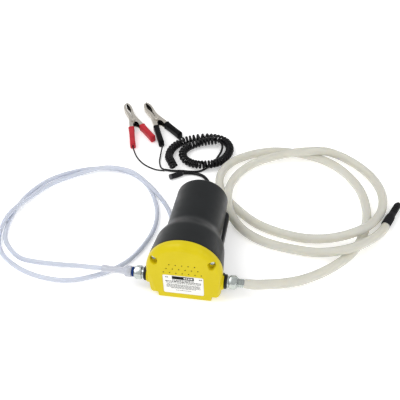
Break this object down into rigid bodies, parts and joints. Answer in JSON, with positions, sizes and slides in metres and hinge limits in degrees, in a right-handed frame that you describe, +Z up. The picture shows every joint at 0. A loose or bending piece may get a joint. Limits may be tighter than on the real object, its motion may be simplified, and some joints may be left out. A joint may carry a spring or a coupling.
{
  "type": "fluid transfer pump",
  "caption": "Small electric fluid transfer pump with a yellow front cap, a black stepped motor housing, side ports, two coiled clear hoses, a curly lead and battery clamps.",
  "frame": {"origin": "middle of the pump on the surface that it stands on, under the motor's axis", "axes": "+Z up; -Y towards the yellow front cap, +Y towards the rear of the motor; +X towards the port with the thick hose"},
  "size_m": [0.5286, 0.3865, 0.0875],
  "materials": {
    "yellow_plastic": "satin moulded",
    "black_plastic": "satin moulded",
    "label_film": "printed film",
    "cast_aluminium": "as cast",
    "black_rubber": "matte",
    "gear_steel": "ground",
    "zinc_steel": "bright zinc plate",
    "bronze": "sintered",
    "copper": "wound and turned",
    "magnet": "matte",
    "cream_hose": "translucent soft plastic",
    "blue_rubber": "matte",
    "clear_tube": "clear soft plastic",
    "black_cord": "glossy jacket",
    "nickel_steel": "nickel plate",
    "spring_steel": "black oxide",
    "red_sleeve": "soft dipped sleeve",
    "black_sleeve": "soft dipped sleeve"
  },
  "bodies": {
    "pump": {"front_cap": "yellow_plastic", "rating_label": "label_film", "motor_housing": "black_plastic", "pump_cover": "cast_aluminium", "pump_gasket": "black_rubber", "pump_body": "cast_aluminium", "gear_pin": "gear_steel", "shaft_seal": "black_rubber", "motor_front_plate": "zinc_steel", "front_bush": "bronze", "motor_can": "zinc_steel", "brush_plate": "black_plastic", "rear_bush": "bronze", "left_cap_screw": "zinc_steel", "left_magnet": "magnet", "left_brush": "magnet", "left_port_collar": "black_plastic", "left_port_nipple": "zinc_steel", "left_hose_tail": "zinc_steel", "right_cap_screw": "zinc_steel", "right_magnet": "magnet", "right_brush": "magnet", "right_port_collar": "black_plastic", "right_port_nipple": "zinc_steel", "right_hose_tail": "zinc_steel", "thick_hose": "cream_hose", "suction_end": "black_plastic", "blue_washer": "blue_rubber", "reducer_tube": "clear_tube", "thin_tube": "clear_tube", "cord_gland": "black_rubber", "motor_lead": "black_cord", "splice_sleeve": "black_rubber", "curly_cord": "black_cord", "tail_cord": "black_cord", "red_wire": "black_cord", "black_wire": "black_cord", "red_fixed_jaw": "nickel_steel", "red_fixed_sleeve": "red_sleeve", "red_rivet": "nickel_steel", "red_spring": "spring_steel", "black_fixed_jaw": "nickel_steel", "black_fixed_sleeve": "black_sleeve", "black_rivet": "nickel_steel", "black_spring": "spring_steel"},
    "rotor": {"motor_shaft": "gear_steel", "rotor_core": "copper", "commutator": "copper", "drive_gear": "gear_steel"},
    "driven": {"driven_gear": "gear_steel"},
    "left_nut": {"left_union_nut": "zinc_steel"},
    "right_nut": {"right_union_nut": "zinc_steel"},
    "red_jaw": {"red_moving_jaw": "nickel_steel", "red_moving_sleeve": "red_sleeve"},
    "black_jaw": {"black_moving_jaw": "nickel_steel", "black_moving_sleeve": "black_sleeve"}
  },
  "joints": [
    {"name": "rotor_spin", "type": "hinge", "parent": "pump", "child": "rotor", "pos_m": [0, 0, 0.0415], "axis": [0, 1, 0], "continuous": true},
    {"name": "driven_gear_spin", "type": "hinge", "parent": "pump", "child": "driven", "pos_m": [0, 0, 0.0247], "axis": [0, 1, 0], "continuous": true},
    {"name": "left_nut_turn", "type": "hinge", "parent": "pump", "child": "left_nut", "pos_m": [-0.058, -0.0564, 0.0245], "axis": [1, 0, 0], "continuous": true},
    {"name": "right_nut_turn", "type": "hinge", "parent": "pump", "child": "right_nut", "pos_m": [0.058, -0.0564, 0.0245], "axis": [1, 0, 0], "continuous": true},
    {"name": "red_clamp_open", "type": "hinge", "parent": "pump", "child": "red_jaw", "pos_m": [-0.146, 0.269, 0.0067], "axis": [0, 0, -1], "range_deg": [0, 18], "stiffness_Nm_per_rad": 1.5, "springref_deg": -20.05},
    {"name": "black_clamp_open", "type": "hinge", "parent": "pump", "child": "black_jaw", "pos_m": [-0.1103, 0.277, 0.0067], "axis": [0, 0, -1], "range_deg": [0, 18], "stiffness_Nm_per_rad": 1.5, "springref_deg": -20.05}
  ],
  "couplings": [
    {"joint": "driven_gear_spin", "follows": "rotor_spin", "ratio": -1}
  ]
}
